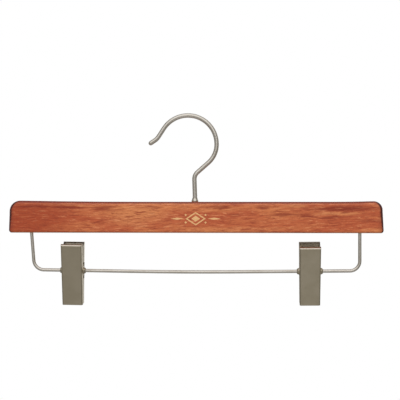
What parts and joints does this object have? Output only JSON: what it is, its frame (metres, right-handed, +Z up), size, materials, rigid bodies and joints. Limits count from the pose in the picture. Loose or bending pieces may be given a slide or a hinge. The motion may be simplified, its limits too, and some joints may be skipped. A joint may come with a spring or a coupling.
{
  "type": "trouser hanger",
  "caption": "Flat wooden bar on a swivelling wire hook, with a drop wire that carries sliding spring clips to hold trousers or a skirt.",
  "frame": {"origin": "highest point of the inside of the hook's bow, where a rail carries the hanger", "axes": "+X along the bar to the right seen from the front, +Y to the bar's back, +Z up"},
  "size_m": [0.3557, 0.0311, 0.1833],
  "materials": {
    "stained_wood": "reddish mahogany stain under satin lacquer",
    "nickel_wire": "satin nickel plate",
    "nickel_sheet": "satin nickel plate, warm grey",
    "bright_nickel": "bright nickel plate",
    "zinc_plate": "zinc plate",
    "spring_steel": "drawn spring wire",
    "grip_rubber": "matt black rubber"
  },
  "bodies": {
    "hook": {"hook": "nickel_wire", "hook_washer": "zinc_plate", "hook_nut": "zinc_plate"},
    "bar": {"wooden_bar": "stained_wood", "hook_ferrule": "bright_nickel", "drop_wire": "nickel_wire"},
    "left_slider": {"left_pivot_rivet": "nickel_sheet"},
    "left_rear_jaw": {"left_rear_plate": "nickel_sheet", "left_rear_grip_pad": "grip_rubber", "left_torsion_spring": "spring_steel"},
    "left_front_jaw": {"left_front_plate": "nickel_sheet", "left_front_grip_pad": "grip_rubber"},
    "right_slider": {"right_pivot_rivet": "nickel_sheet"},
    "right_rear_jaw": {"right_rear_plate": "nickel_sheet", "right_rear_grip_pad": "grip_rubber", "right_torsion_spring": "spring_steel"},
    "right_front_jaw": {"right_front_plate": "nickel_sheet", "right_front_grip_pad": "grip_rubber"}
  },
  "joints": [
    {"name": "bar_swivel", "type": "hinge", "parent": "hook", "child": "bar", "pos_m": [0.0068, 0, -0.08005], "axis": [0, 0, 1], "continuous": true},
    {"name": "left_clip_slide", "type": "slide", "parent": "bar", "child": "left_slider", "axis": [0.9999, 0, -0.0133], "range_m": [-0.0155, 0.0855]},
    {"name": "left_clip_swing", "type": "hinge", "parent": "left_slider", "child": "left_rear_jaw", "pos_m": [-0.1102, 0, -0.14572], "axis": [0.9999, 0, -0.0133], "continuous": true},
    {"name": "left_jaw_open", "type": "hinge", "parent": "left_rear_jaw", "child": "left_front_jaw", "pos_m": [-0.1102, 0, -0.14572], "axis": [-0.9999, 0, 0.0133], "range_deg": [0, 14.5], "stiffness_Nm_per_rad": 0.4, "springref_deg": -22.92, "deforming": ["left_torsion_spring"]},
    {"name": "right_clip_slide", "type": "slide", "parent": "bar", "child": "right_slider", "axis": [0.9999, 0, 0.0115], "range_m": [-0.0964, 0.0242]},
    {"name": "right_clip_swing", "type": "hinge", "parent": "right_slider", "child": "right_rear_jaw", "pos_m": [0.1157, 0, -0.14579], "axis": [0.9999, 0, 0.0115], "continuous": true},
    {"name": "right_jaw_open", "type": "hinge", "parent": "right_rear_jaw", "child": "right_front_jaw", "pos_m": [0.1157, 0, -0.14579], "axis": [-0.9999, 0, -0.0115], "range_deg": [0, 14.5], "stiffness_Nm_per_rad": 0.4, "springref_deg": -22.92, "deforming": ["right_torsion_spring"]}
  ]
}
